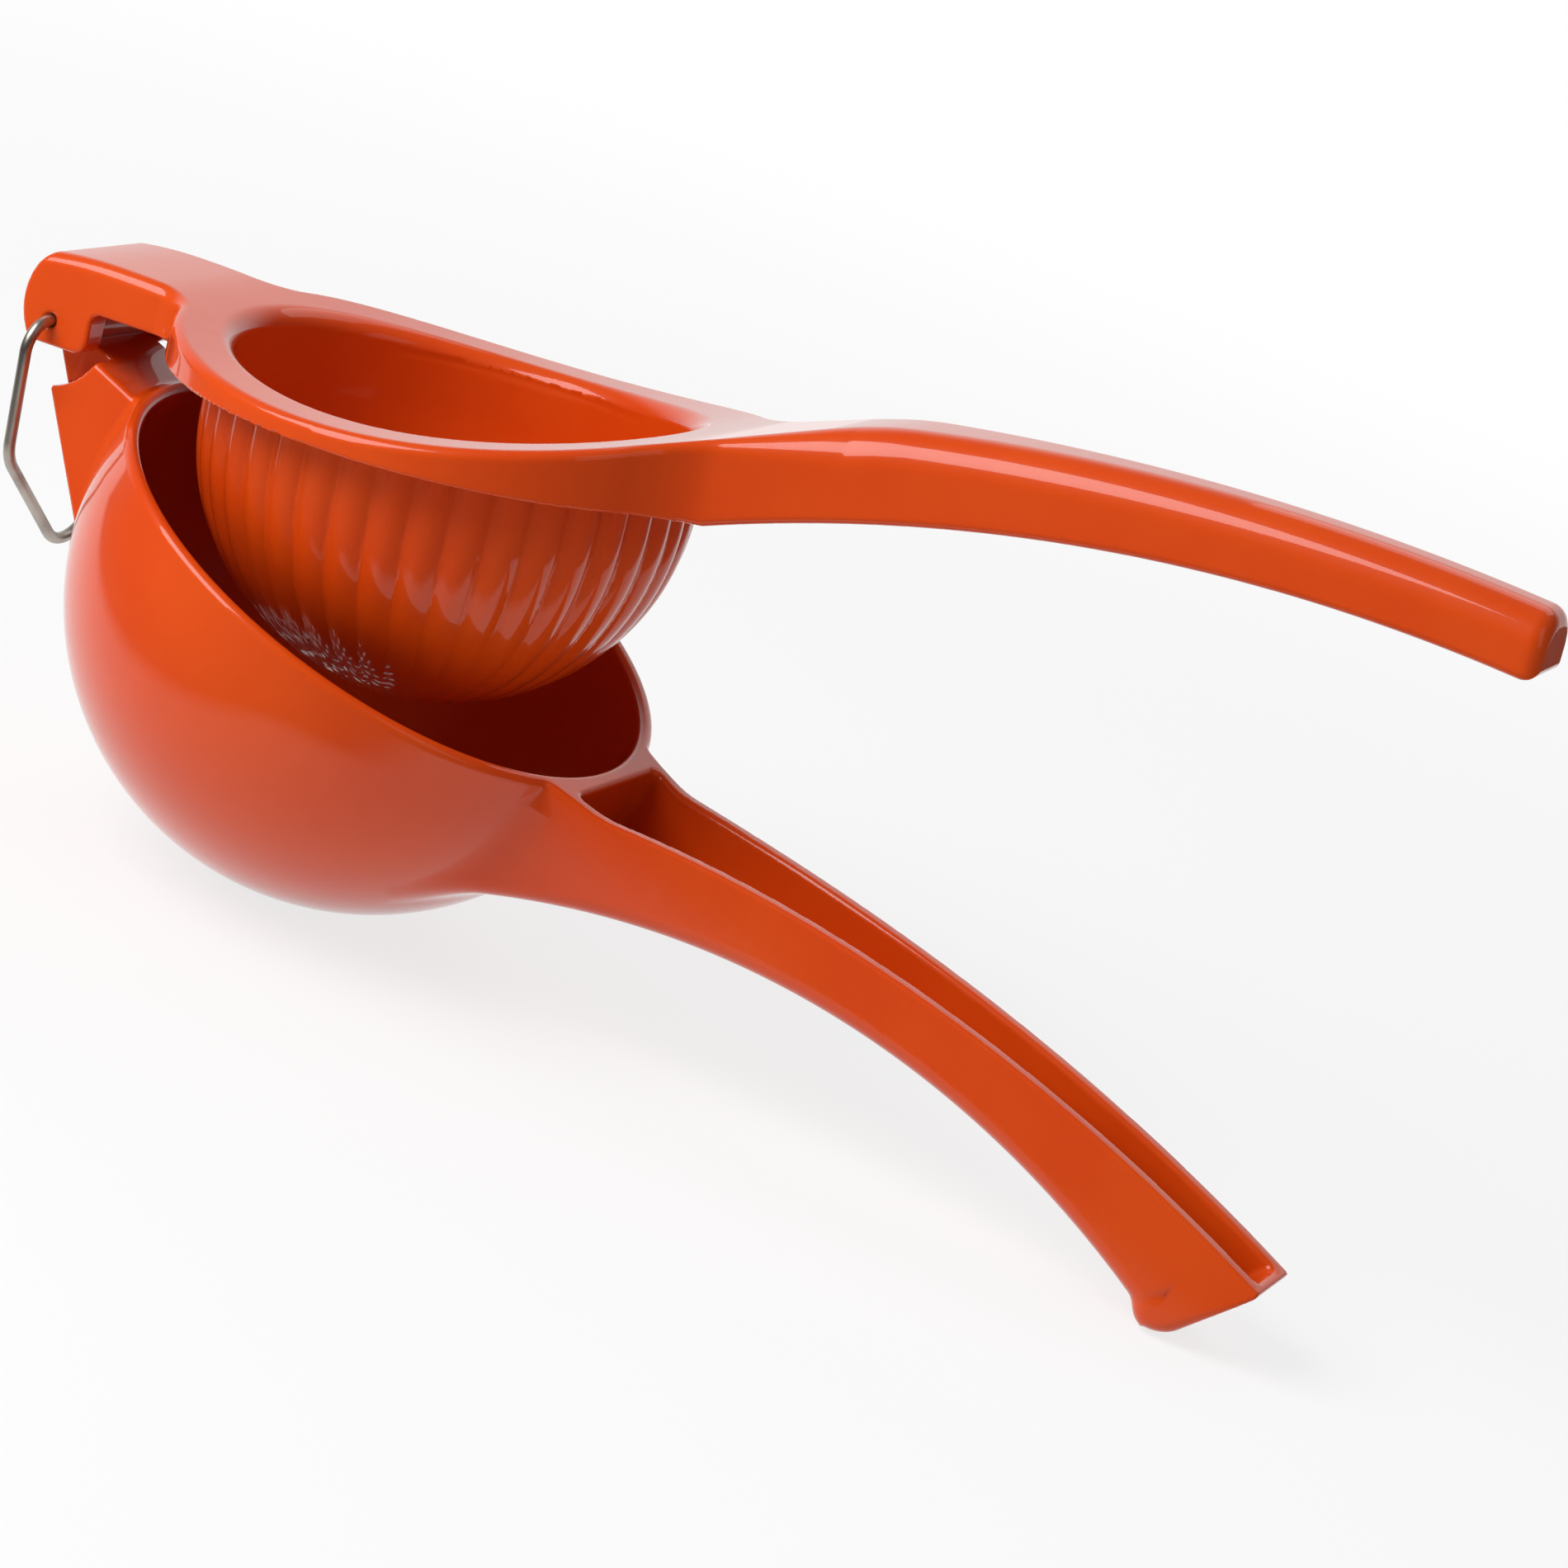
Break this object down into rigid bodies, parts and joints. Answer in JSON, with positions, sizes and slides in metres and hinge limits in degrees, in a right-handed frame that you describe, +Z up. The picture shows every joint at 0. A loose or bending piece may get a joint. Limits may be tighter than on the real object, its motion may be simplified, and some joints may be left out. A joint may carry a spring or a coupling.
{
  "type": "hinged citrus squeezer",
  "caption": "Hinged citrus press: perforated strainer bowl on a channelled handle, ribbed press cup on an upper handle, wire hinge pin that is also a hanging ring.",
  "frame": {"origin": "bottom centre of the bounding box, on the surface the squeezer stands on", "axes": "+X from the hinge towards the handle ends, +Y across the hinge, +Z up"},
  "size_m": [0.2304, 0.091, 0.1173],
  "materials": {
    "enamel_lower": "glossy orange enamel on cast aluminium",
    "enamel_upper": "glossy orange enamel on cast aluminium",
    "wire": "drawn stainless steel wire, satin"
  },
  "bodies": {
    "lower_arm": {"bowl_casting": "enamel_lower"},
    "upper_arm": {"press_casting": "enamel_upper"},
    "hanging_wire": {"wire_bail": "wire"}
  },
  "joints": [
    {"name": "press_hinge", "type": "hinge", "parent": "lower_arm", "child": "upper_arm", "pos_m": [-0.10976, 0, 0.06835], "axis": [0, -1, 0], "range_deg": [-23.2, 126]},
    {"name": "bail_swing", "type": "hinge", "parent": "lower_arm", "child": "hanging_wire", "pos_m": [-0.10976, 0, 0.06835], "axis": [0, -1, 0], "range_deg": [-234, 21]}
  ]
}
